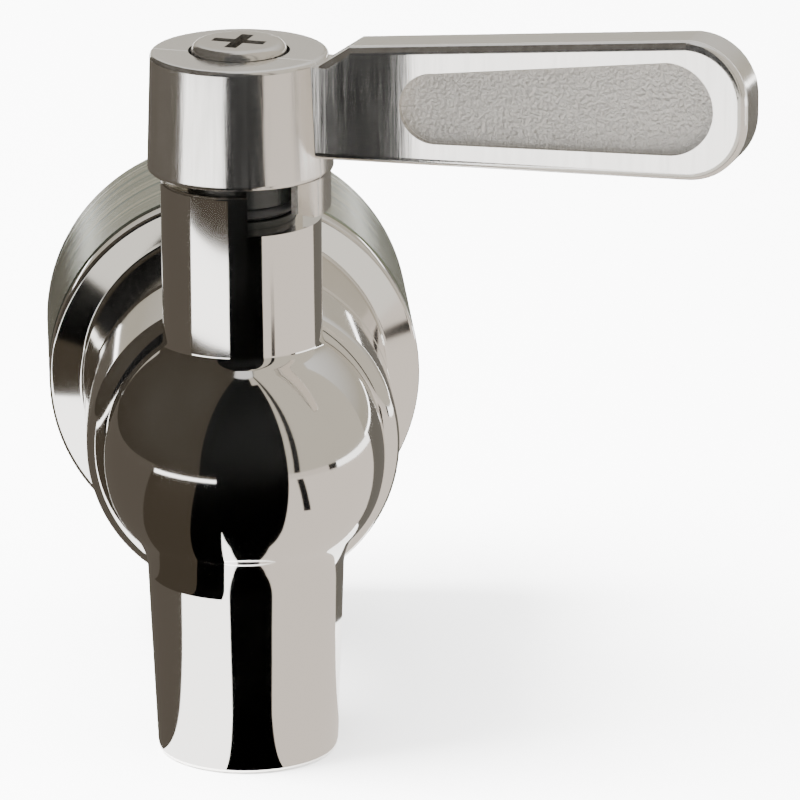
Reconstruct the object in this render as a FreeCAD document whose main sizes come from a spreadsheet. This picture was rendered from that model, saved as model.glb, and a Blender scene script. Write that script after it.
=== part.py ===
"""A quarter-turn plug tap for a bag-in-box spout, as a parametric FreeCAD document.

Millimetres. +Z is up, the drinker stands at -Y and the bag is at +Y. The origin is on the inlet
axis, where the bag's threaded spout seats on its washer. The valve axis is vertical, at
y = -valve_reach, and crosses the inlet axis in the middle of the belly.
"""

import FreeCAD, Part
import math
import os

import Sketcher

# ---------------------------------------------------------------- driving dimensions, mm and degrees

DIMENSIONS = {
    # belly, barrel and flange of the casting, measured back from the valve axis
    "belly_radius": 14.2,
    "barrel_radius": 16.2,
    "shoulder_start": 11.0,
    "shoulder_length": 3.8,
    "flange_setback": 26.5,
    "flange_radius": 19.3,
    "flange_thickness": 2.0,
    "flange_root_fillet": 1.5,
    "flange_edge_fillet": 0.5,
    # spout and neck of the casting, measured from the inlet axis
    "spout_drop": 31.0,
    "spout_mouth_radius": 9.15,
    "spout_root_radius": 9.9,
    "spout_straight": 15.0,
    "spout_edge_fillet": 0.6,
    "spout_bore_radius": 7.4,
    "spout_blend": 2.0,
    "neck_height": 28.9,
    "neck_radius": 8.0,
    "neck_blend": 0.8,
    "notch_depth": 4.0,
    "notch_clearance_angle": 0.5,
    # valve plug and its chamber
    "plug_radius": 7.0,
    "running_clearance": 0.08,
    "plug_below": 8.2,
    "plug_above": 8.0,
    "chamber_below": 9.0,
    "thrust_washer_thickness": 1.0,
    "stem_radius": 5.4,
    "port_radius": 4.0,
    "plug_hollow_radius": 4.8,
    "plug_hollow_roof": 5.0,
    "seal_section": 1.2,
    "seal_gap": 0.05,
    "seal_groove_play": 0.1,
    "lower_stem_seal_height": 14.5,
    "upper_stem_seal_height": 26.3,
    "plug_seal_drop": 6.4,
    # inlet passage
    "tail_radius": 10.5,
    "tail_end": 2.0,
    "tail_bore_radius": 8.4,
    "seat_step": 14.5,
    "seat_radius": 6.4,
    "seat_flange_thickness": 1.2,
    "seat_bore_radius": 4.2,
    # handle
    "rim_gap": 0.9,
    "hub_height": 12.1,
    "hub_foot_radius": 9.3,
    "hub_top_radius": 8.85,
    "hub_edge_fillet": 0.5,
    "lever_angle": 21.6,
    "lever_reach": 52.6,
    "lever_thickness": 5.6,
    "lever_root_lift": 2.0,
    "lever_root_height": 11.9,
    "lever_tip_lift": 3.1,
    "lever_tip_height": 13.9,
    "lever_root": 12.3,
    "lever_end_radius": 6.0,
    "lever_edge_fillet": 0.8,
    "recess_start": 17.5,
    "recess_margin": 2.4,
    "recess_end_margin": 3.2,
    "recess_depth": 0.9,
    "lug_half_angle": 17.0,
    "lug_inner_radius": 6.2,
    "lug_outer_radius": 9.0,
    "lug_depth": 3.7,
    "travel_to_open": 48.5,
    "travel_to_shut": 41.5,
    # drive, screw and washers
    "drive_flats": 7.0,
    "drive_clearance": 0.1,
    "drive_height": 5.8,
    "socket_depth": 6.0,
    "screw_radius": 2.45,
    "tapped_radius": 2.5,
    "screw_hole_radius": 2.75,
    "screw_length": 15.0,
    "screw_head_radius": 4.75,
    "screw_head_height": 3.7,
    "screw_head_round": 0.9,
    "screw_head_proud": 0.9,
    "head_clearance": 0.3,
    "cross_width": 1.25,
    "cross_length": 5.4,
    "cross_depth": 2.0,
    "spring_washer_thickness": 1.2,
    "spring_washer_radius": 4.55,
    "spring_washer_gap": 0.8,
    # coupling at the back
    "gasket_thickness": 1.0,
    "gasket_inset": 0.3,
    "cup_web": 3.0,
    "cup_front_fillet": 0.4,
    "cup_rear_fillet": 1.6,
    "cup_counterbore_radius": 13.2,
    "washer_pocket_radius": 15.9,
    "washer_thickness": 2.0,
    "washer_inner_radius": 13.0,
    "fit_clearance": 0.2,
    "thread_radius": 15.15,
    "thread_length": 11.2,
    "thread_chamfer": 0.8,
    "ring_nut_radius": 12.7,
    "ring_nut_thickness": 3.5,
    "ring_nut_slot": 2.6,
    "ring_nut_slot_depth": 1.1,
}

doc = FreeCAD.newDocument("bag_in_box_tap")
sheet = doc.addObject("Spreadsheet::Sheet", "sizes")
for row, (alias, number) in enumerate(DIMENSIONS.items(), start=1):
    sheet.set(f"A{row}", alias.replace("_", " "))
    sheet.set(f"B{row}", str(number))
    sheet.setAlias(f"B{row}", alias)
doc.recompute()


class Size:
    """A number together with the spreadsheet expression that it comes from."""

    def __init__(self, number, text):
        self.number = number
        self.text = text

    def joined(self, other, sign, number):
        return Size(number, f"({self.text} {sign} {as_size(other).text})")

    def __add__(self, other):
        return self.joined(other, "+", self.number + as_size(other).number)

    def __sub__(self, other):
        return self.joined(other, "-", self.number - as_size(other).number)

    def __mul__(self, other):
        return self.joined(other, "*", self.number * as_size(other).number)

    def __truediv__(self, other):
        return self.joined(other, "/", self.number / as_size(other).number)

    def __neg__(self):
        return Size(-self.number, f"(-1 * {self.text})")


def as_size(value):
    return value if isinstance(value, Size) else Size(float(value), repr(float(value)))


def cosine(angle):
    return Size(math.cos(math.radians(angle.number)), f"cos({angle.text})")


def sine(angle):
    return Size(math.sin(math.radians(angle.number)), f"sin({angle.text})")


class Named:
    """Gives each spreadsheet cell as a Size, by its alias."""

    def __getattr__(self, alias):
        return Size(DIMENSIONS[alias], f"sizes.{alias}")


d = Named()

# ---------------------------------------------------------------- sketching and features


def origin_item(body, role):
    return next(item for item in body.Origin.OriginFeatures if item.Role == role)


def new_sketch(body, name, plane, offset=None):
    """A sketch on one of the body's own planes, lifted along the plane's normal by offset."""
    sketch = body.newObject("Sketcher::SketchObject", name)
    sketch.AttachmentSupport = [(origin_item(body, plane), "")]
    sketch.MapMode = "FlatFace"
    if offset is not None:
        sketch.setExpression("AttachmentOffset.Base.z", offset.text)
        doc.recompute()
    return sketch


def bind(sketch, constraint, size):
    """Adds a dimension to the sketch and ties it to the spreadsheet."""
    index = sketch.addConstraint(Sketcher.Constraint(*constraint, size.number))
    sketch.setExpression(f"Constraints[{index}]", size.text)


def arc_between(start, end, radius, turn):
    """The shorter arc of that radius from start to end. turn is 1 for anticlockwise."""
    start = FreeCAD.Vector(*start, 0)
    end = FreeCAD.Vector(*end, 0)
    chord = end - start
    height = math.sqrt(max(radius**2 - (chord.Length / 2) ** 2, 0.0))
    side = FreeCAD.Vector(-chord.y, chord.x, 0).normalize() * (height * turn)
    centre = (start + end) * 0.5 + side
    first, last = (start, end) if turn > 0 else (end, start)
    angles = [math.atan2(point.y - centre.y, point.x - centre.x) for point in (first, last)]
    circle = Part.Circle(centre, FreeCAD.Vector(0, 0, 1), radius)
    return Part.ArcOfCircle(circle, *angles)


def draw_outline(sketch, points):
    """Draws a closed outline. Each point is (x, y), or (x, y, radius, turn) where an arc leads to it."""
    points = [tuple(as_size(value) for value in point[:3]) + point[3:] for point in points]
    ends = []
    for index, point in enumerate(points):
        before = points[index - 1]
        start = (before[0].number, before[1].number)
        end = (point[0].number, point[1].number)
        if len(point) == 4:
            shape = arc_between(start, end, point[2].number, point[3])
            ends.append((1, 2) if point[3] > 0 else (2, 1))
        else:
            shape = Part.LineSegment(FreeCAD.Vector(*start, 0), FreeCAD.Vector(*end, 0))
            ends.append((1, 2))
        sketch.addGeometry(shape)
    for index in range(len(points)):
        sketch.addConstraint(
            Sketcher.Constraint("Coincident", index - 1 if index else len(points) - 1,
                                ends[index - 1][1], index, ends[index][0])
        )
    for index, point in enumerate(points):
        bind(sketch, ("DistanceX", -1, 1, index, ends[index][1]), point[0])
        bind(sketch, ("DistanceY", -1, 1, index, ends[index][1]), point[1])
        if len(point) == 4:
            bind(sketch, ("Radius", index), point[2])
    doc.recompute()
    return sketch


def draw_circle(sketch, radius, centre=(0, 0)):
    x, y = (as_size(value) for value in centre)
    circle = Part.Circle(FreeCAD.Vector(x.number, y.number, 0), FreeCAD.Vector(0, 0, 1), radius.number)
    index = sketch.addGeometry(circle)
    bind(sketch, ("DistanceX", -1, 1, index, 3), x)
    bind(sketch, ("DistanceY", -1, 1, index, 3), y)
    bind(sketch, ("Radius", index), radius)
    doc.recompute()
    return sketch


def volume_of(body):
    return body.Shape.Volume if body.Tip else 0.0


def finished(body, item, before):
    """Recomputes a new feature and makes sure that it added or removed material as it should."""
    doc.recompute()
    change = item.Shape.Volume - before
    adds = item.TypeId in ("PartDesign::Revolution", "PartDesign::Pad")
    if item.Shape.isNull() or (change <= 0 if adds else change >= 0):
        raise RuntimeError(f"{body.Label}: {item.Name} changed the volume by {change:.3f}")
    return item


def turned(body, kind, name, sketch, axis):
    """A Revolution or Groove all the way round one of the sketch's axes."""
    before = volume_of(body)
    item = body.newObject(f"PartDesign::{kind}", name)
    item.Profile = sketch
    item.ReferenceAxis = (sketch, [axis])
    item.Angle = 360
    return finished(body, item, before)


def extruded(body, kind, name, sketch, length, reverse=False, both_ways=False):
    """A Pad along its sketch's normal, or a Pocket against it, unless reversed or both ways."""
    before = volume_of(body)
    item = body.newObject(f"PartDesign::{kind}", name)
    item.Profile = sketch
    item.Type = "Length"
    item.setExpression("Length", length.text)
    item.Reversed = reverse
    if both_ways:
        item.SideType = "Symmetric"
    return finished(body, item, before)


def rounded(body, kind, name, size, picks):
    """A Fillet or Chamfer on the edges of the body's tip for which picks(edge) is true."""
    base = body.Tip
    names = [f"Edge{i}" for i, edge in enumerate(base.Shape.Edges, start=1) if picks(edge)]
    if not names:
        raise RuntimeError(f"{body.Label}: {name} found no edge")
    item = body.newObject(f"PartDesign::{kind}", name)
    item.Base = (base, names)
    item.setExpression("Radius" if kind == "Fillet" else "Size", size.text)
    doc.recompute()
    if item.Shape.isNull() or not item.Shape.isValid():
        raise RuntimeError(f"{body.Label}: {name} of {size.number} could not be made")
    return item


def runs_round(edge, radius, low, high):
    """True for an edge that stays on a cylinder round the body's Z axis, between two heights."""
    if edge.Degenerated:
        return False
    steps = [edge.FirstParameter + (edge.LastParameter - edge.FirstParameter) * k / 6 for k in range(7)]
    places = [edge.valueAt(step) for step in steps]
    return all(
        abs(math.hypot(place.x, place.y) - radius.number) < 0.05 and low.number < place.z < high.number
        for place in places
    )


def new_body(label):
    body = doc.addObject("PartDesign::Body", label)
    body.Label = label
    return body


def on_valve_axis(body, turns=False):
    """Stands a body on the valve axis, turned with the lever if it rides on it."""
    if turns:
        clockwise = FreeCAD.Rotation(FreeCAD.Vector(0, 0, -1), d.lever_angle.number)
        body.Placement = FreeCAD.Placement(FreeCAD.Vector(0, 0, 0), clockwise)
        body.setExpression("Placement.Rotation.Angle", d.lever_angle.text)
    body.setExpression("Placement.Base.y", (-valve_reach).text)
    doc.recompute()


def ring_about_inlet(label, inner, outer, front, back):
    """A plain flat ring round the inlet axis, from y = front to y = back."""
    body = new_body(label)
    sketch = new_sketch(body, f"{label}_section", "YZ_Plane")
    draw_outline(sketch, [(front, inner), (front, outer), (back, outer), (back, inner)])
    turned(body, "Revolution", f"{label}_ring", sketch, "H_Axis")
    return body


def seal_about_valve(label, inner, section, height, turns):
    """An O-ring round the valve axis whose inside radius is inner, centred at height."""
    body = new_body(label)
    sketch = new_sketch(body, f"{label}_section", "XZ_Plane")
    draw_circle(sketch, section / 2, (inner + section / 2, height))
    turned(body, "Revolution", f"{label}_ring", sketch, "V_Axis")
    on_valve_axis(body, turns)
    return body


# ---------------------------------------------------------------- places worked out from the sizes

# along the inlet axis, in the part's own frame
seat_plane = as_size(0)
web_back = -(d.washer_thickness + d.ring_nut_thickness + d.fit_clearance * 2)
cup_front = web_back - d.cup_web
cup_back = d.thread_length + d.thread_chamfer
gasket_front = cup_front - d.gasket_thickness
flange_face = gasket_front - d.flange_thickness
valve_reach = d.flange_setback - flange_face

# along the valve axis
spout_mouth = -d.spout_drop
neck_rim = d.neck_height
notch_floor = neck_rim - d.notch_depth
hub_foot = neck_rim + d.rim_gap
hub_top = hub_foot + d.hub_height
chamber_radius = d.plug_radius + d.running_clearance
chamber_roof = d.plug_above + d.thrust_washer_thickness
neck_bore_radius = d.stem_radius + d.running_clearance
head_top = hub_top + d.screw_head_proud
head_seat = head_top - d.screw_head_height
spring_washer_foot = head_seat - d.spring_washer_thickness
screw_end = head_seat - d.screw_length


# ---------------------------------------------------------------- the casting


def make_tap_body():
    body = new_body("tap_body")
    half = d.shoulder_length / 2
    rise = (d.barrel_radius - d.belly_radius) / 2
    shoulder_radius = (half * half + rise * rise) / (rise * 2)
    face = d.flange_setback
    flange_back = face + d.flange_thickness
    tail_back = valve_reach - d.tail_end
    edge = d.flange_edge_fillet

    # belly, barrel, flange and tail, turned about the inlet axis
    sketch = new_sketch(body, "barrel_profile", "YZ_Plane")
    draw_outline(sketch, [
        (-d.belly_radius, 0),
        (0, d.belly_radius, d.belly_radius, -1),
        (d.shoulder_start, d.belly_radius),
        (d.shoulder_start + half, d.belly_radius + rise, shoulder_radius, 1),
        (d.shoulder_start + d.shoulder_length, d.barrel_radius, shoulder_radius, -1),
        (face - d.flange_root_fillet, d.barrel_radius),
        (face, d.barrel_radius + d.flange_root_fillet, d.flange_root_fillet, 1),
        (face, d.flange_radius - edge),
        (face + edge, d.flange_radius, edge, -1),
        (flange_back, d.flange_radius),
        (flange_back, d.tail_radius),
        (tail_back, d.tail_radius),
        (tail_back, 0),
    ])
    turned(body, "Revolution", "barrel", sketch, "H_Axis")

    # tapered spout
    sketch = new_sketch(body, "spout_profile", "XZ_Plane")
    spout_root = spout_mouth + d.spout_straight
    draw_outline(sketch, [
        (0, spout_mouth),
        (d.spout_mouth_radius, spout_mouth),
        (d.spout_root_radius, spout_root),
        (d.spout_root_radius, -d.belly_radius / 4),
        (0, -d.belly_radius / 4),
    ])
    turned(body, "Revolution", "spout", sketch, "V_Axis")

    # neck
    sketch = new_sketch(body, "neck_section", "XY_Plane")
    draw_circle(sketch, d.neck_radius)
    extruded(body, "Pad", "neck", sketch, neck_rim)

    # soft blends where the spout and the neck meet the belly
    def spout_meets_belly(edge):
        return runs_round(edge, d.spout_root_radius, spout_root, -d.chamber_below)

    def neck_meets_belly(edge):
        return runs_round(edge, d.neck_radius, chamber_roof, d.barrel_radius)

    rounded(body, "Fillet", "spout_blend", d.spout_blend, spout_meets_belly)
    rounded(body, "Fillet", "neck_blend", d.neck_blend, neck_meets_belly)

    def spout_lip(edge):
        return edge.BoundBox.ZMax < spout_mouth.number + 0.01

    rounded(body, "Fillet", "spout_lip", d.spout_edge_fillet, spout_lip)

    # bores along the valve axis
    sketch = new_sketch(body, "valve_bore_profile", "XZ_Plane")
    draw_outline(sketch, [
        (0, spout_mouth),
        (d.spout_bore_radius, spout_mouth),
        (d.spout_bore_radius, -d.chamber_below),
        (chamber_radius, -d.chamber_below),
        (chamber_radius, chamber_roof),
        (neck_bore_radius, chamber_roof),
        (neck_bore_radius, neck_rim),
        (0, neck_rim),
    ])
    turned(body, "Groove", "valve_bore", sketch, "V_Axis")

    # inlet passage
    sketch = new_sketch(body, "inlet_bore_profile", "YZ_Plane")
    draw_outline(sketch, [
        (0, 0),
        (0, d.seat_radius),
        (d.seat_step, d.seat_radius),
        (d.seat_step, d.tail_bore_radius),
        (tail_back, d.tail_bore_radius),
        (tail_back, 0),
    ])
    turned(body, "Groove", "inlet_bore", sketch, "H_Axis")

    # the notch that limits the lever's swing
    first = -(d.lever_angle + d.lug_half_angle + d.travel_to_open + d.notch_clearance_angle)
    last = d.travel_to_shut - d.lever_angle + d.lug_half_angle + d.notch_clearance_angle
    sketch = new_sketch(body, "notch_outline", "XY_Plane", neck_rim)
    draw_sector(sketch, d.stem_radius / 2, d.neck_radius * 1.2, first, last)
    extruded(body, "Pocket", "notch", sketch, d.notch_depth)

    on_valve_axis(body)
    return body


def draw_sector(sketch, inner, outer, first, last):
    """A ring sector between two angles, which are measured from +X."""
    middle = (first + last) / 2
    return draw_outline(sketch, [
        (inner * cosine(first), inner * sine(first), inner, -1),
        (outer * cosine(first), outer * sine(first)),
        (outer * cosine(middle), outer * sine(middle), outer, 1),
        (outer * cosine(last), outer * sine(last), outer, 1),
        (inner * cosine(last), inner * sine(last)),
        (inner * cosine(middle), inner * sine(middle), inner, -1),
    ])


# ---------------------------------------------------------------- the handle


def make_handle():
    body = new_body("handle")

    # hub, slightly wider at its foot
    sketch = new_sketch(body, "hub_profile", "XZ_Plane")
    draw_outline(sketch, [
        (0, hub_foot),
        (d.hub_foot_radius, hub_foot),
        (d.hub_top_radius, hub_top),
        (0, hub_top),
    ])
    turned(body, "Revolution", "hub", sketch, "V_Axis")

    def hub_rims(edge):
        return edge.Closed and edge.BoundBox.ZLength < 0.01

    rounded(body, "Fillet", "hub_rims", d.hub_edge_fillet, hub_rims)

    # lever, a flat plate on edge that grows deeper towards its rounded end
    low_root = hub_foot + d.lever_root_lift
    high_root = low_root + d.lever_root_height
    low_tip = hub_foot + d.lever_tip_lift
    high_tip = low_tip + d.lever_tip_height
    turn = d.lever_end_radius
    sketch = new_sketch(body, "lever_outline", "XZ_Plane")
    draw_outline(sketch, [
        (0, low_root),
        (d.lever_reach - turn, low_tip),
        (d.lever_reach, low_tip + turn, turn, 1),
        (d.lever_reach, high_tip - turn),
        (d.lever_reach - turn, high_tip, turn, 1),
        (d.lever_root, high_root),
        (d.hub_top_radius, hub_top - d.hub_edge_fillet),
        (0, hub_top - d.hub_edge_fillet),
    ])
    extruded(body, "Pad", "lever", sketch, d.lever_thickness, both_ways=True)

    def lever_rims(edge):
        centre = edge.CenterOfMass
        on_face = abs(abs(centre.y) - d.lever_thickness.number / 2) < 0.01
        return on_face and edge.BoundBox.YLength < 0.01 and centre.x > d.hub_foot_radius.number

    rounded(body, "Fillet", "lever_rims", d.lever_edge_fillet, lever_rims)

    # sunk panel in the lever's front face
    low_start, high_start = recess_edges(d.recess_start, low_root, low_tip, high_root, high_tip)
    recess_end = d.lever_reach - d.recess_end_margin
    low_end, high_end = recess_edges(recess_end, low_root, low_tip, high_root, high_tip)
    start_radius = (high_start - low_start) / 2
    end_radius = (high_end - low_end) / 2
    sketch = new_sketch(body, "recess_outline", "XZ_Plane", d.lever_thickness / 2)
    draw_outline(sketch, [
        (d.recess_start + start_radius, low_start, start_radius, 1),
        (recess_end - end_radius, low_end),
        (recess_end, (low_end + high_end) / 2, end_radius, 1),
        (recess_end - end_radius, high_end, end_radius, 1),
        (d.recess_start + start_radius, high_start),
        (d.recess_start, (low_start + high_start) / 2, start_radius, 1),
    ])
    extruded(body, "Pocket", "recess", sketch, d.recess_depth)

    # counterbore for the screw's head, and its hole
    socket_roof = hub_foot + d.socket_depth
    counterbore_radius = d.screw_head_radius + d.head_clearance
    sketch = new_sketch(body, "screw_bore_profile", "XZ_Plane")
    draw_outline(sketch, [
        (0, hub_foot),
        (d.screw_hole_radius, hub_foot),
        (d.screw_hole_radius, spring_washer_foot),
        (counterbore_radius, spring_washer_foot),
        (counterbore_radius, hub_top),
        (0, hub_top),
    ])
    turned(body, "Groove", "screw_bore", sketch, "V_Axis")

    # square socket for the plug's drive
    sketch = new_sketch(body, "socket_outline", "XY_Plane", hub_foot)
    draw_square(sketch, d.drive_flats / 2 + d.drive_clearance)
    extruded(body, "Pocket", "socket", sketch, socket_roof - hub_foot, reverse=True)

    # stop lug under the hub
    sketch = new_sketch(body, "lug_outline", "XY_Plane", hub_foot)
    draw_sector(sketch, d.lug_inner_radius, d.lug_outer_radius, -d.lug_half_angle, d.lug_half_angle)
    extruded(body, "Pad", "lug", sketch, d.lug_depth, reverse=True)

    on_valve_axis(body, turns=True)
    return body


def draw_square(sketch, half):
    return draw_outline(sketch, [(-half, -half), (half, -half), (half, half), (-half, half)])


def recess_edges(reach, low_root, low_tip, high_root, high_tip):
    """Heights of the panel's lower and upper edge where the lever has that reach."""
    run = d.lever_reach - d.lever_end_radius
    low = low_root + (low_tip - low_root) * reach / run + d.recess_margin
    share = (reach - d.lever_root) / (run - d.lever_root)
    high = high_root + (high_tip - high_root) * share - d.recess_margin
    return low, high


# ---------------------------------------------------------------- the plug and what rides on it


def groove_points(bore_radius, surface_radius, height):
    """Section of an O-ring groove in a shaft, upwards along its surface."""
    floor = bore_radius - d.seal_gap - d.seal_section
    half = d.seal_section / 2 + d.seal_groove_play
    return [
        (surface_radius, height - half),
        (floor, height - half),
        (floor, height + half),
        (surface_radius, height + half),
    ]


def make_valve_core():
    body = new_body("valve_core")
    sketch = new_sketch(body, "plug_profile", "XZ_Plane")
    draw_outline(sketch, [
        (0, -d.plug_below),
        (d.plug_radius, -d.plug_below),
        *groove_points(chamber_radius, d.plug_radius, -d.plug_seal_drop),
        (d.plug_radius, d.plug_above),
        (d.stem_radius, d.plug_above),
        *groove_points(neck_bore_radius, d.stem_radius, d.lower_stem_seal_height),
        *groove_points(neck_bore_radius, d.stem_radius, d.upper_stem_seal_height),
        (d.stem_radius, hub_foot),
        (0, hub_foot),
    ])
    turned(body, "Revolution", "plug", sketch, "V_Axis")

    sketch = new_sketch(body, "drive_outline", "XY_Plane", hub_foot)
    draw_square(sketch, d.drive_flats / 2)
    extruded(body, "Pad", "drive", sketch, d.drive_height)

    # hole tapped for the handle's screw
    sketch = new_sketch(body, "tapped_hole_outline", "XY_Plane", hub_foot + d.drive_height)
    draw_circle(sketch, d.tapped_radius)
    depth = hub_foot + d.drive_height - screw_end + d.screw_radius
    extruded(body, "Pocket", "tapped_hole", sketch, depth)

    # hollow that opens down into the spout
    sketch = new_sketch(body, "hollow_outline", "XY_Plane", -d.plug_below)
    draw_circle(sketch, d.plug_hollow_radius)
    extruded(body, "Pocket", "hollow", sketch, d.plug_below + d.plug_hollow_roof, reverse=True)

    # side port, which meets the inlet when the lever has swung all the way open
    port_angle = d.lever_angle + d.travel_to_open + 90
    sketch = body.newObject("Sketcher::SketchObject", "port_outline")
    sketch.AttachmentSupport = [(origin_item(body, "YZ_Plane"), "")]
    sketch.MapMode = "FlatFace"
    about_valve_axis = FreeCAD.Rotation(FreeCAD.Vector(0, 1, 0), port_angle.number)
    sketch.AttachmentOffset = FreeCAD.Placement(FreeCAD.Vector(0, 0, 0), about_valve_axis)
    sketch.setExpression("AttachmentOffset.Rotation.Angle", port_angle.text)
    doc.recompute()
    draw_circle(sketch, d.port_radius)
    extruded(body, "Pocket", "port", sketch, d.plug_radius * 1.2, reverse=True)

    on_valve_axis(body, turns=True)
    return body


def make_seals():
    on_stem = neck_bore_radius - d.seal_gap - d.seal_section
    on_plug = chamber_radius - d.seal_gap - d.seal_section
    return [
        seal_about_valve("stem_seal_upper", on_stem, d.seal_section, d.upper_stem_seal_height, True),
        seal_about_valve("stem_seal_lower", on_stem, d.seal_section, d.lower_stem_seal_height, True),
        seal_about_valve("plug_seal", on_plug, d.seal_section, -d.plug_seal_drop, True),
    ]


def make_handle_screw():
    body = new_body("handle_screw")
    brim = d.screw_head_round
    sketch = new_sketch(body, "screw_profile", "XZ_Plane")
    draw_outline(sketch, [
        (0, screw_end),
        (d.screw_radius, screw_end),
        (d.screw_radius, head_seat),
        (d.screw_head_radius, head_seat),
        (d.screw_head_radius, head_top - brim),
        (d.screw_head_radius - brim, head_top, brim, 1),
        (0, head_top),
    ])
    turned(body, "Revolution", "screw", sketch, "V_Axis")

    # cross recess
    narrow = d.cross_width / 2
    wide = d.cross_length / 2
    sketch = new_sketch(body, "cross_outline", "XY_Plane", head_top)
    draw_outline(sketch, [
        (narrow, narrow), (wide, narrow), (wide, -narrow), (narrow, -narrow),
        (narrow, -wide), (-narrow, -wide), (-narrow, -narrow), (-wide, -narrow),
        (-wide, narrow), (-narrow, narrow), (-narrow, wide), (narrow, wide),
    ])
    extruded(body, "Pocket", "cross_recess", sketch, d.cross_depth)

    on_valve_axis(body, turns=True)
    return body


def make_spring_washer():
    body = new_body("spring_washer")
    inner = d.screw_hole_radius
    sketch = new_sketch(body, "washer_section", "XZ_Plane")
    draw_outline(sketch, [
        (inner, spring_washer_foot),
        (d.spring_washer_radius, spring_washer_foot),
        (d.spring_washer_radius, head_seat),
        (inner, head_seat),
    ])
    turned(body, "Revolution", "washer", sketch, "V_Axis")

    half = d.spring_washer_gap / 2
    sketch = new_sketch(body, "split_outline", "XY_Plane", head_seat)
    draw_outline(sketch, [
        (0, -half), (d.spring_washer_radius * 1.1, -half), (d.spring_washer_radius * 1.1, half), (0, half),
    ])
    extruded(body, "Pocket", "split", sketch, d.spring_washer_thickness)
    on_valve_axis(body, turns=True)
    return body


# ---------------------------------------------------------------- pieces that stay with the casting


def make_thrust_washer():
    body = new_body("thrust_washer")
    sketch = new_sketch(body, "thrust_washer_section", "XZ_Plane")
    draw_outline(sketch, [
        (d.stem_radius + d.seal_groove_play, d.plug_above),
        (d.plug_radius - d.seal_groove_play, d.plug_above),
        (d.plug_radius - d.seal_groove_play, chamber_roof),
        (d.stem_radius + d.seal_groove_play, chamber_roof),
    ])
    turned(body, "Revolution", "thrust_ring", sketch, "V_Axis")
    on_valve_axis(body)
    return body


def make_seat_bush():
    """Flanged bush in the inlet port, its front end hollowed to the plug."""
    body = new_body("seat_bush")
    outer = d.seat_radius - d.running_clearance
    flange_outer = d.tail_bore_radius - d.fit_clearance
    flange_back = d.seat_step + d.seat_flange_thickness
    front = chamber_radius / 4
    sketch = new_sketch(body, "bush_profile", "YZ_Plane")
    draw_outline(sketch, [
        (front, d.seat_bore_radius),
        (front, outer),
        (d.seat_step, outer),
        (d.seat_step, flange_outer),
        (flange_back, flange_outer),
        (flange_back, d.seat_bore_radius),
    ])
    turned(body, "Revolution", "bush", sketch, "H_Axis")

    sketch = new_sketch(body, "plug_clearance_outline", "XY_Plane")
    draw_circle(sketch, chamber_radius)
    extruded(body, "Pocket", "plug_clearance", sketch, d.seat_radius * 2.5, both_ways=True)
    on_valve_axis(body)
    return body


def make_coupling_cup():
    body = new_body("coupling_cup")
    tail_hole = d.tail_radius + d.fit_clearance
    front = d.cup_front_fillet
    rear = d.cup_rear_fillet
    sketch = new_sketch(body, "cup_profile", "YZ_Plane")
    draw_outline(sketch, [
        (cup_front, tail_hole),
        (cup_front, d.flange_radius - front),
        (cup_front + front, d.flange_radius, front, -1),
        (cup_back - rear, d.flange_radius),
        (cup_back, d.flange_radius - rear, rear, -1),
        (cup_back, d.thread_radius + d.thread_chamfer),
        (cup_back - d.thread_chamfer, d.thread_radius),
        (seat_plane, d.thread_radius),
        (seat_plane, d.washer_pocket_radius),
        (seat_plane - d.washer_thickness, d.washer_pocket_radius),
        (seat_plane - d.washer_thickness, d.cup_counterbore_radius),
        (web_back, d.cup_counterbore_radius),
        (web_back, tail_hole),
    ])
    turned(body, "Revolution", "cup", sketch, "H_Axis")
    return body


def make_ring_nut():
    """Round nut on the casting's tail, with four slots for a pin spanner in its back face."""
    nut_back = web_back + d.ring_nut_thickness
    body = ring_about_inlet("ring_nut", d.tail_radius + d.fit_clearance, d.ring_nut_radius, web_back, nut_back)
    half = d.ring_nut_slot / 2
    sketch = new_sketch(body, "slot_outline", "XZ_Plane", -nut_back)
    draw_outline(sketch, [
        (-half, d.tail_radius), (half, d.tail_radius),
        (half, d.ring_nut_radius * 1.1), (-half, d.ring_nut_radius * 1.1),
    ])
    slot = extruded(body, "Pocket", "slot", sketch, d.ring_nut_slot_depth, reverse=True)
    pattern = body.newObject("PartDesign::PolarPattern", "slots")
    pattern.Originals = [slot]
    pattern.Axis = (origin_item(body, "Y_Axis"), [""])
    pattern.Angle = 360
    pattern.Occurrences = 4
    body.Tip = pattern
    doc.recompute()
    return body


def make_flat_rings():
    gasket_outer = d.flange_radius - d.gasket_inset
    gasket_inner = d.tail_radius + d.fit_clearance
    washer_outer = d.washer_pocket_radius - d.fit_clearance
    washer_front = seat_plane - d.washer_thickness
    return [
        ring_about_inlet("flange_gasket", gasket_inner, gasket_outer, gasket_front, cup_front),
        ring_about_inlet("sealing_washer", d.washer_inner_radius, washer_outer, washer_front, seat_plane),
    ]


# ---------------------------------------------------------------- build, check and export

PIECES = [
    make_tap_body(),
    make_handle(),
    make_handle_screw(),
    make_spring_washer(),
    make_valve_core(),
    *make_seals(),
    make_thrust_washer(),
    make_seat_bush(),
    make_coupling_cup(),
    make_ring_nut(),
    *make_flat_rings(),
]

doc.recompute()
for item in doc.Objects:
    if "Invalid" in item.State or "Error" in item.State:
        raise RuntimeError(f"{item.Label} is {item.State}")
for piece in PIECES:
    if piece.Shape.isNull() or not piece.Shape.isValid() or len(piece.Shape.Solids) != 1:
        raise RuntimeError(f"{piece.Label} has no single valid solid")

os.makedirs("parts", exist_ok=True)
for piece in PIECES:
    piece.Shape.exportStep(os.path.join("parts", f"{piece.Label}.step"))
    print(f"{piece.Label:18s} {piece.Shape.Volume:10.1f} mm3")
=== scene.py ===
import math

import bpy
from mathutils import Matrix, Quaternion, Vector


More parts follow.
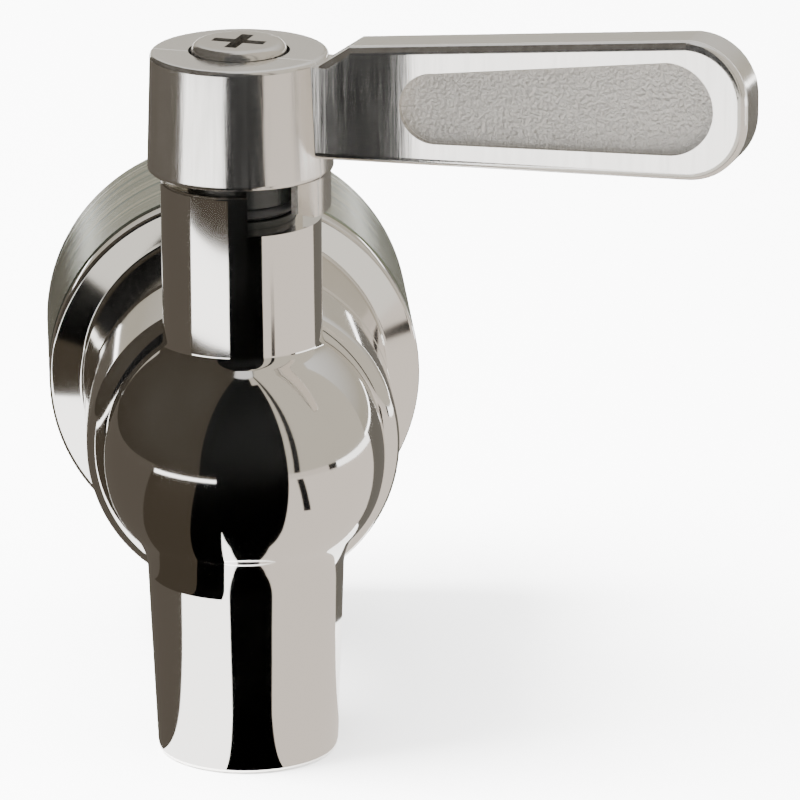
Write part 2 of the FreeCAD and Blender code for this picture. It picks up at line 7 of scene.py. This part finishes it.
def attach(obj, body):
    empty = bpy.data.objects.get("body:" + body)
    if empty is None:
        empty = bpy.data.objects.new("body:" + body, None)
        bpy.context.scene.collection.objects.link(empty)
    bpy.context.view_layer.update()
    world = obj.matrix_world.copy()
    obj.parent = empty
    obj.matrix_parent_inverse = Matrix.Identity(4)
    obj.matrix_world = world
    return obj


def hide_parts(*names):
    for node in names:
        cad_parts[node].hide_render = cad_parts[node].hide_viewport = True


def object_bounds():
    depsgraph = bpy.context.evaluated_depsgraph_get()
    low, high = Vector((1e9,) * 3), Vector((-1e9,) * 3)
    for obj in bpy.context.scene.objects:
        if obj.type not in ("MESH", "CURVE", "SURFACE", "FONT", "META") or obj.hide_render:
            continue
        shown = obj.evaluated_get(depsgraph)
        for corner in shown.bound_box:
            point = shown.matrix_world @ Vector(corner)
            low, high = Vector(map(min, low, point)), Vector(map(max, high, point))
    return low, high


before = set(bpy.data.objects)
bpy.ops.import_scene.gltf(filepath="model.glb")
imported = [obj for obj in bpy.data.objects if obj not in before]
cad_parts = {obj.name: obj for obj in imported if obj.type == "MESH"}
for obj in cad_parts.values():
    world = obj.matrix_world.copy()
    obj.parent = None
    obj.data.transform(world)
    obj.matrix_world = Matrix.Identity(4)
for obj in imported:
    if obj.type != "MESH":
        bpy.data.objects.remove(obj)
cad_low, cad_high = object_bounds()

MM = 0.001
VALVE = Vector((0.0, -38.4, 0.0)) * MM
FLOOR = cad_low.z


# ------------------------------------------------------------------ small helpers


def colour(text, alpha=1.0):
    """An sRGB hex value as a linear RGBA colour."""
    parts = [int(text[i:i + 2], 16) / 255 for i in (1, 3, 5)]
    linear = [c / 12.92 if c <= 0.04045 else ((c + 0.055) / 1.055) ** 2.4 for c in parts]
    return (*linear, alpha)


def add_node(tree, kind, links=None, **settings):
    """Adds a node, sets its properties or inputs by name and links its inputs from other sockets."""
    node = tree.nodes.new(kind)
    for name, value in settings.items():
        if hasattr(node, name):
            setattr(node, name, value)
        else:
            node.inputs[name.replace("_", " ")].default_value = value
    for name, source in (links or {}).items():
        tree.links.new(source, node.inputs[name])
    return node


def new_material(name, base, metallic, roughness, **shader_settings):
    """A material with one Principled shader. Gives the material, its tree and the shader."""
    material = bpy.data.materials.new(name)
    material.use_nodes = True
    tree = material.node_tree
    shader = tree.nodes["Principled BSDF"]
    shader.inputs["Base Color"].default_value = colour(base)
    shader.inputs["Metallic"].default_value = metallic
    shader.inputs["Roughness"].default_value = roughness
    for name_, value in shader_settings.items():
        shader.inputs[name_.replace("_", " ")].default_value = value
    return material, tree, shader


# ------------------------------------------------------------------ camera

AZIMUTH = -3.3
ELEVATION = 17.4
DISTANCE = 0.6988
ROLL = -0.38


def place_camera():
    a, e = math.radians(AZIMUTH), math.radians(ELEVATION)
    back = Vector((math.sin(a) * math.cos(e), -math.cos(a) * math.cos(e), math.sin(e)))
    aim = Vector((15.7 * MM, VALVE.y, 5.26 * MM))
    data = bpy.data.cameras.new("camera")
    data.sensor_width = 36.0
    data.lens = 312.98
    data.clip_start = 0.01
    data.clip_end = 20.0
    camera = bpy.data.objects.new("camera", data)
    bpy.context.collection.objects.link(camera)
    camera.location = aim + back * DISTANCE
    camera.rotation_mode = "QUATERNION"
    turn = (-back).to_track_quat("-Z", "Y")
    camera.rotation_quaternion = turn @ Quaternion((0, 0, 1), math.radians(ROLL))
    bpy.context.scene.camera = camera


place_camera()

# ------------------------------------------------------------------ turned forms


def bend(centre, radius, first, last, steps=10):
    """Points of an arc about centre, from one angle in degrees to another."""
    turns = [math.radians(first + (last - first) * i / steps) for i in range(steps + 1)]
    return [(centre[0] + radius * math.cos(t), centre[1] + radius * math.sin(t)) for t in turns]


def spun(name, outline, axis, steps=128):
    """A solid turned from an outline of (radius, height) in mm. axis is "Z" or "Y", on the valve."""
    bpy.ops.object.select_all(action="DESELECT")
    mesh = bpy.data.meshes.new(name)
    if axis == "Z":
        corners = [VALVE + Vector((r, 0, h)) * MM for r, h in outline]
    else:
        corners = [VALVE + Vector((0, h, r)) * MM for r, h in outline]
    mesh.from_pydata(corners, [(i, i + 1) for i in range(len(corners) - 1)], [])
    piece = bpy.data.objects.new(name, mesh)
    bpy.context.collection.objects.link(piece)
    piece.select_set(True)
    bpy.context.view_layer.objects.active = piece
    bpy.ops.object.mode_set(mode="EDIT")
    bpy.ops.mesh.select_all(action="SELECT")
    spin_axis = (0, 0, 1) if axis == "Z" else (0, 1, 0)
    bpy.ops.mesh.spin(steps=steps, angle=math.tau, center=VALVE, axis=spin_axis)
    bpy.ops.mesh.select_all(action="SELECT")
    bpy.ops.mesh.remove_doubles(threshold=0.000002)
    bpy.ops.mesh.normals_make_consistent(inside=False)
    bpy.ops.object.mode_set(mode="OBJECT")
    return piece


def carve(piece, tool, operation):
    """Joins the tool to the piece, or cuts the piece with it, and takes the tool away."""
    bpy.ops.object.select_all(action="DESELECT")
    piece.select_set(True)
    bpy.context.view_layer.objects.active = piece
    step = piece.modifiers.new("carve", "BOOLEAN")
    step.operation = operation
    step.solver = "EXACT"
    step.object = tool
    bpy.ops.object.modifier_apply(modifier=step.name)
    bpy.data.objects.remove(tool)


def stop_notch():
    """Block that cuts the notch in the neck's rim, between the lever's two stops."""
    floor, top = NECK_TOP - NOTCH_DEPTH, NECK_TOP + 1
    turns = [math.radians(NOTCH_FIRST + (NOTCH_LAST - NOTCH_FIRST) * i / 24) for i in range(25)]
    ring = [(3 * math.cos(t), 3 * math.sin(t)) for t in turns]
    ring += [(10 * math.cos(t), 10 * math.sin(t)) for t in reversed(turns)]
    mesh = bpy.data.meshes.new("notch_tool")
    corners = [VALVE + Vector((x, y, floor)) * MM for x, y in ring]
    mesh.from_pydata(corners, [], [tuple(range(len(ring)))])
    tool = bpy.data.objects.new("notch_tool", mesh)
    bpy.context.collection.objects.link(tool)
    bpy.ops.object.select_all(action="DESELECT")
    tool.select_set(True)
    bpy.context.view_layer.objects.active = tool
    bpy.ops.object.mode_set(mode="EDIT")
    bpy.ops.mesh.select_all(action="SELECT")
    bpy.ops.mesh.extrude_region_move(TRANSFORM_OT_translate={"value": (0, 0, (top - floor) * MM)})
    bpy.ops.mesh.select_all(action="SELECT")
    bpy.ops.mesh.normals_make_consistent(inside=False)
    bpy.ops.object.mode_set(mode="OBJECT")
    return tool


# ------------------------------------------------------------------ the casting

SPOUT_MOUTH = -31.0
SPOUT_MOUTH_R = 9.15
SPOUT_ROOT_R = 9.9
LIP = 0.5
BELLY_R = 14.2
UNDER_R = 10.0
UNDER_TURN = -15.0
SWEEP_R = 6.0
NECK_R = 8.0
NECK_TOP = 28.9
NECK_BLEND = 1.5
RIM = 0.3
BARREL_R = 15.8
BARREL_FACE = 1.0
BARREL_ROUND = 2.0
JOINT_LINE = 13.6
JOINT_WIDTH = 0.6
JOINT_DEPTH = 0.5
FLANGE_FACE = 26.5
FLANGE_BACK = 28.5
FLANGE_R = 19.3
FLANGE_EDGE = 0.4
TAIL_R = 10.5
TAIL_BACK = 36.4
NOTCH_DEPTH = 4.0
NOTCH_FIRST = -87.6
NOTCH_LAST = 37.4


def upright_outline():
    """Spout, belly and neck in one sweep, from the mouth up."""
    under = ((BELLY_R - UNDER_R) * math.cos(math.radians(UNDER_TURN)),
             (BELLY_R - UNDER_R) * math.sin(math.radians(UNDER_TURN)))
    sweep_x = SPOUT_ROOT_R + SWEEP_R
    sweep_z = under[1] - math.sqrt((UNDER_R + SWEEP_R) ** 2 - (sweep_x - under[0]) ** 2)
    meet = math.degrees(math.atan2(under[1] - sweep_z, under[0] - sweep_x))
    blend_x = NECK_R + NECK_BLEND
    blend_z = math.sqrt((BELLY_R + NECK_BLEND) ** 2 - blend_x ** 2)
    crown = math.degrees(math.atan2(blend_z, blend_x))
    return [
        (0, SPOUT_MOUTH),
        (SPOUT_MOUTH_R - LIP, SPOUT_MOUTH),
        *bend((SPOUT_MOUTH_R - LIP, SPOUT_MOUTH + LIP), LIP, -60, 0, 4),
        *bend((sweep_x, sweep_z), SWEEP_R, 180, meet),
        *bend(under, UNDER_R, meet - 180, UNDER_TURN)[1:],
        *bend((0, 0), BELLY_R, UNDER_TURN, crown, 24)[1:],
        *bend((blend_x, blend_z), NECK_BLEND, crown + 180, 180, 6)[1:],
        *bend((NECK_R - RIM, NECK_TOP - RIM), RIM, 0, 90, 4),
        (0, NECK_TOP),
    ]


def level_outline():
    """Barrel, flange and tail, from the front face back."""
    return [
        (0, BARREL_FACE),
        *bend((BARREL_R - BARREL_ROUND, BARREL_FACE + BARREL_ROUND), BARREL_ROUND, -90, 0, 10),
        (BARREL_R, JOINT_LINE - JOINT_WIDTH),
        (BARREL_R - JOINT_DEPTH, JOINT_LINE),
        (BARREL_R, JOINT_LINE + JOINT_WIDTH),
        *bend((BARREL_R + FLANGE_EDGE, FLANGE_FACE - FLANGE_EDGE), FLANGE_EDGE, 180, 90, 4),
        *bend((FLANGE_R - FLANGE_EDGE, FLANGE_FACE + FLANGE_EDGE), FLANGE_EDGE, -90, 0, 4),
        (FLANGE_R, FLANGE_BACK),
        (TAIL_R, FLANGE_BACK),
        (TAIL_R, TAIL_BACK),
        (0, TAIL_BACK),
    ]


def make_casting():
    casting = spun("casting", upright_outline(), "Z")
    carve(casting, spun("barrel", level_outline(), "Y"), "UNION")
    upright_bore = [
        (0, SPOUT_MOUTH - 1), (7.4, SPOUT_MOUTH - 1), (7.4, -9.0), (7.08, -9.0), (7.08, 9.0),
        (5.48, 9.0), (5.48, NECK_TOP + 1), (0, NECK_TOP + 1),
    ]
    carve(casting, spun("upright_bore", upright_bore, "Z"), "DIFFERENCE")
    inlet_bore = [(0, 0.5), (6.4, 0.5), (6.4, 14.5), (8.4, 14.5), (8.4, TAIL_BACK + 1), (0, TAIL_BACK + 1)]
    carve(casting, spun("inlet_bore", inlet_bore, "Y"), "DIFFERENCE")
    carve(casting, stop_notch(), "DIFFERENCE")
    bpy.ops.object.select_all(action="DESELECT")
    casting.select_set(True)
    bpy.context.view_layer.objects.active = casting
    bpy.ops.object.shade_smooth_by_angle(angle=math.radians(28))
    return casting


# ------------------------------------------------------------------ materials


def place_coordinates(tree, turn=(0, 0, 0), scale=(1, 1, 1), move=(0, 0, 0)):
    place = add_node(tree, "ShaderNodeTexCoord")
    mapping = add_node(tree, "ShaderNodeMapping", {"Vector": place.outputs["Object"]})
    mapping.inputs["Location"].default_value = move
    mapping.inputs["Rotation"].default_value = turn
    mapping.inputs["Scale"].default_value = scale
    return mapping.outputs["Vector"]


def between(tree, source, low, high):
    """The source, from 0 to 1, spread over low to high."""
    node = add_node(tree, "ShaderNodeMapRange", {"Value": source}, To_Min=low, To_Max=high)
    return node.outputs["Result"]


def roughen(tree, shader, height, strength, distance):
    bump = add_node(tree, "ShaderNodeBump", {"Height": height}, Strength=strength, Distance=distance)
    tree.links.new(bump.outputs["Normal"], shader.inputs["Normal"])


def polished_cast_stainless():
    # buffed by hand, so the mirror wavers a little and a few patches are duller
    material, tree, shader = new_material("polished_cast_stainless", "#e2dfda", 1.0, 0.05)
    vector = place_coordinates(tree)
    patches = add_node(tree, "ShaderNodeTexNoise", {"Vector": vector}, Scale=180.0, Detail=3.0)
    tree.links.new(between(tree, patches.outputs["Fac"], 0.03, 0.10), shader.inputs["Roughness"])
    waver = add_node(tree, "ShaderNodeTexNoise", {"Vector": vector}, Scale=90.0, Detail=1.0)
    roughen(tree, shader, waver.outputs["Fac"], 0.12, 0.0004)
    return material


LEVER_ANGLE = math.radians(21.6)
PANEL_DEPTH = 1.9
PANEL_START = 17.0


def brushed_cast_stainless():
    # linished upright, which leaves fine strokes; the sunk panel keeps the grain of the mould
    material, tree, shader = new_material("brushed_cast_stainless", "#e2dfda", 1.0, 0.16)
    strokes = add_node(tree, "ShaderNodeTexNoise", {"Vector": place_coordinates(tree, scale=(1, 1, 0.04))},
                       Scale=2600.0, Detail=4.0)
    grain = add_node(tree, "ShaderNodeTexNoise", {"Vector": place_coordinates(tree)}, Scale=2600.0, Detail=5.0)
    along = place_coordinates(tree, turn=(0, 0, LEVER_ANGLE),
                              move=(-VALVE.y * math.sin(LEVER_ANGLE), -VALVE.y * math.cos(LEVER_ANGLE), 0))
    parts = add_node(tree, "ShaderNodeSeparateXYZ", {"Vector": along})
    level = add_node(tree, "ShaderNodeMath", {0: parts.outputs["Y"]}, operation="COMPARE")
    level.inputs[1].default_value = -PANEL_DEPTH * MM
    level.inputs[2].default_value = 0.15 * MM
    beyond = add_node(tree, "ShaderNodeMath", {0: parts.outputs["X"]}, operation="GREATER_THAN")
    beyond.inputs[1].default_value = PANEL_START * MM
    panel = add_node(tree, "ShaderNodeMath", {0: level.outputs[0], 1: beyond.outputs[0]}, operation="MULTIPLY")
    dull = add_node(tree, "ShaderNodeMix", {"Factor": panel.outputs[0],
                                            "A": between(tree, strokes.outputs["Fac"], 0.08, 0.26)})
    dull.inputs["B"].default_value = 0.42
    tree.links.new(dull.outputs["Result"], shader.inputs["Roughness"])
    relief = add_node(tree, "ShaderNodeMix", {"Factor": panel.outputs[0],
                                              "A": between(tree, strokes.outputs["Fac"], 0.4, 0.55),
                                              "B": between(tree, grain.outputs["Fac"], -3.0, 4.0)})
    roughen(tree, shader, relief.outputs["Result"], 0.5, 0.00014)
    return material


def turned_stainless_painted_reflection():
    # the lathe tool leaves fine rings about the inlet, which spread the light across them; the dark green to
    # olive colour that follows the rings is a painted reflection of the surroundings, not the steel's own
    # colour
    material, tree, shader = new_material("turned_stainless_painted_reflection", "#b9bcab", 1.0, 0.22)
    vector = place_coordinates(tree)
    parts = add_node(tree, "ShaderNodeSeparateXYZ", {"Vector": vector})
    rings = add_node(tree, "ShaderNodeTexNoise", {"W": parts.outputs["Y"]}, noise_dimensions="1D",
                     Scale=900.0, Detail=4.0)
    tree.links.new(between(tree, rings.outputs["Fac"], 0.12, 0.34), shader.inputs["Roughness"])
    # painted reflection: the rings switch the base colour between dark green and olive, as the reflected room
    # would
    tint = add_node(tree, "ShaderNodeValToRGB", {"Fac": rings.outputs["Fac"]})
    tint.color_ramp.elements[0].position = 0.35
    tint.color_ramp.elements[0].color = colour("#6a756d")
    tint.color_ramp.elements[1].position = 0.65
    tint.color_ramp.elements[1].color = colour("#a6a591")
    tree.links.new(tint.outputs["Color"], shader.inputs["Base Color"])
    roughen(tree, shader, rings.outputs["Fac"], 0.25, 0.0001)
    return material


def grained(name, base, metallic, roughness, scale, depth, **more):
    """A plain material with a fine grain that breaks up its highlights."""
    material, tree, shader = new_material(name, base, metallic, roughness, **more)
    grain = add_node(tree, "ShaderNodeTexNoise", {"Vector": place_coordinates(tree)}, Scale=scale, Detail=4.0)
    tree.links.new(between(tree, grain.outputs["Fac"], roughness * 0.75, roughness * 1.25),
                   shader.inputs["Roughness"])
    roughen(tree, shader, grain.outputs["Fac"], 0.2, depth)
    return material


def dress(names, material):
    for name in names:
        for slot in bpy.data.objects[name].material_slots:
            slot.material = material


casting = make_casting()
casting.data.materials.clear()
casting.data.materials.append(polished_cast_stainless())
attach(casting, "tap")
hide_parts("tap_body")

dress(["tap_body"], casting.data.materials[0])
dress(["handle"], brushed_cast_stainless())
# rolled screw steel, a little greyer and duller than the casting
dress(["handle_screw"], grained("zinc_plated_screw_steel", "#cfcbc4", 1.0, 0.2, 1400.0, 0.00004))
# spring steel with a dark oiled skin
dress(["spring_washer"], grained("oiled_spring_steel", "#8b8884", 1.0, 0.34, 1600.0, 0.00004))
dress(["coupling_cup"], turned_stainless_painted_reflection())
# bright yellow metal of the nut on the tail
dress(["ring_nut"], grained("turned_brass", "#d6b26a", 1.0, 0.24, 1200.0, 0.00004))
# dark moulded plug, shiny where it is greased
dress(["valve_core"], grained("black_acetal", "#121311", 0.0, 0.22, 900.0, 0.00003))
# soft black rings, smoother than the gaskets
dress(["stem_seal_upper", "stem_seal_lower", "plug_seal"],
      grained("black_nitrile_rubber", "#141414", 0.0, 0.38, 1500.0, 0.00003))
# waxy white bearing plastic
dress(["thrust_washer", "seat_bush"], grained("white_ptfe", "#eceae4", 0.0, 0.42, 800.0, 0.00003))
# brown-black seam under the flange
dress(["flange_gasket"], grained("brown_fibre_gasket", "#2f2620", 0.0, 0.75, 1900.0, 0.00006))
# matt black washer in the cup
dress(["sealing_washer"], grained("black_washer_rubber", "#191918", 0.0, 0.6, 1300.0, 0.00005))

# ------------------------------------------------------------------ floor, lights and surroundings


def make_floor():
    bpy.ops.object.select_all(action="DESELECT")
    bpy.ops.mesh.primitive_plane_add(size=4.0, location=(0, 0, FLOOR))
    floor = bpy.context.object
    floor.name = "studio_floor"
    material, tree, shader = new_material("white_paper_floor", "#fbfbfb", 0.0, 0.9)
    floor.data.materials.append(material)


def glow(name, tint, strength):
    material = bpy.data.materials.new(name)
    material.use_nodes = True
    tree = material.node_tree
    tree.nodes.clear()
    light = add_node(tree, "ShaderNodeEmission", Color=colour(tint), Strength=strength)
    out = add_node(tree, "ShaderNodeOutputMaterial")
    tree.links.new(light.outputs["Emission"], out.inputs["Surface"])
    return material


FOOT = 0.0094
WALL = 0.9
HUB_REACH = 0.42
NECK_REACH = 0.32
FLAG_REACH = 0.021
SHELF_LEVEL = -12.5 * MM
SHELF_NEAR = 0.0105
SHELF_FAR = 0.125
STREAK_NEAR = 0.03
WALL_HEIGHT = 2.2


def bearing(turn):
    """The level direction at a bearing in degrees from the camera, to the right where positive."""
    t = math.radians(AZIMUTH + turn)
    return Vector((math.sin(t), -math.cos(t), 0))


def card(name, first, last, near_line, far_line, tint, strength):
    """A sheet that only the polished metal sees, between two bearings and two (radius, height) lines."""
    turns = [first + (last - first) * i / 24 for i in range(25)]
    corners = [VALVE + bearing(t) * near_line[0] + Vector((0, 0, near_line[1])) for t in turns]
    corners += [VALVE + bearing(t) * far_line[0] + Vector((0, 0, far_line[1])) for t in reversed(turns)]
    mesh = bpy.data.meshes.new(name)
    mesh.from_pydata(corners, [], [(i, i + 1, 48 - i, 49 - i) for i in range(24)])
    mesh.materials.append(glow(f"{name}_glow", tint, strength))
    sheet = bpy.data.objects.new(name, mesh)
    bpy.context.collection.objects.link(sheet)
    sheet.visible_camera = False
    sheet.visible_diffuse = False
    sheet.visible_shadow = False
    sheet.visible_transmission = False


def floor_card(name, first, last, near, far, tint, strength):
    level = FLOOR + 0.2 * MM
    card(name, first, last, (near, level), (far, level), tint, strength)


def shelf_card(name, first, last, near, tint, strength):
    card(name, first, last, (near, SHELF_LEVEL), (SHELF_FAR, SHELF_LEVEL), tint, strength)


def wall_card(name, first, last, tint, strength):
    card(name, first, last, (WALL, FLOOR), (WALL * 0.4, WALL_HEIGHT), tint, strength)


def area_light(name, place, target, width, depth, power):
    data = bpy.data.lights.new(name, "AREA")
    data.shape = "RECTANGLE"
    data.size = width
    data.size_y = depth
    data.energy = power
    light = bpy.data.objects.new(name, data)
    bpy.context.collection.objects.link(light)
    light.location = place
    light.rotation_mode = "QUATERNION"
    light.rotation_quaternion = (Vector(target) - Vector(place)).to_track_quat("-Z", "Y")
    light.visible_glossy = False


def make_world():
    """White all round for the paper, and a beige room with a bright ceiling for the metal."""
    world = bpy.data.worlds.new("studio")
    bpy.context.scene.world = world
    world.use_nodes = True
    tree = world.node_tree
    tree.nodes.clear()
    place = add_node(tree, "ShaderNodeTexCoord")
    parts = add_node(tree, "ShaderNodeSeparateXYZ", {"Vector": place.outputs["Generated"]})
    room = add_node(tree, "ShaderNodeValToRGB", {"Fac": parts.outputs["Z"]})
    room.color_ramp.elements[0].position = 0.1
    room.color_ramp.elements[0].color = colour("#c2bbac")
    room.color_ramp.elements[1].position = 0.75
    room.color_ramp.elements[1].color = colour("#ffffff")
    walls = add_node(tree, "ShaderNodeBackground", {"Color": room.outputs["Color"]}, Strength=1.1)
    paper = add_node(tree, "ShaderNodeBackground", Color=(1, 1, 1, 1), Strength=5.6)
    rays = add_node(tree, "ShaderNodeLightPath")
    mix = add_node(tree, "ShaderNodeMixShader", {0: rays.outputs["Is Glossy Ray"],
                                                 1: paper.outputs[0], 2: walls.outputs[0]})
    out = add_node(tree, "ShaderNodeOutputWorld")
    tree.links.new(mix.outputs[0], out.inputs["Surface"])


make_floor()
# what the mirror of the casting shows, in bearings from the camera
floor_card("card_brown_left", -180, -75, FOOT, WALL, "#8d8478", 0.5)
floor_card("card_white_left", -75, -14, FOOT, HUB_REACH, "#ffffff", 4.5)
floor_card("card_brown_far", -75, -14, HUB_REACH, WALL, "#7c7060", 0.4)
floor_card("card_pale_front", -14, 25, FLAG_REACH, WALL, "#e6e3dc", 1.7)
floor_card("card_beige_right", 25, 125, FOOT, NECK_REACH, "#e2d8ce", 1.6)
floor_card("card_beige_hub", 25, 72, NECK_REACH, WALL, "#e2d8ce", 1.4)
floor_card("card_dark_line", 72, 80, NECK_REACH, WALL, "#2a2723", 0.3)
floor_card("card_white_hub", 80, 125, NECK_REACH, WALL, "#ffffff", 3.5)
floor_card("card_grey_back", 125, 180, 0.04, WALL, "#9a958c", 0.6)
floor_card("card_black_foot", -14, 25, FOOT, FLAG_REACH, "#101010", 0.05)
card("flag_black", -14, 25, (FLAG_REACH, FLOOR), (FLAG_REACH, 0.05), "#101010", 0.05)
shelf_card("shelf_brown", -75, -35, SHELF_NEAR, "#6b6153", 0.5)
shelf_card("shelf_black", -35, -14, SHELF_NEAR, "#151413", 0.1)
shelf_card("shelf_streak", 41, 46, STREAK_NEAR, "#2a2a2c", 0.3)
wall_card("wall_brown", -150, -35, "#5f574b", 0.55)
wall_card("wall_black", -35, 22, "#161616", 0.1)
wall_card("wall_beige", 22, 41, "#cfc8bb", 1.25)
wall_card("wall_streak", 41, 46, "#2a2a2c", 0.3)
wall_card("wall_beige_far", 46, 120, "#cfc8bb", 1.25)
area_light("window_box", (-0.6, -0.08, 0.8), (0.0, -0.035, -0.03), 0.7, 0.7, 95.0)
make_world()
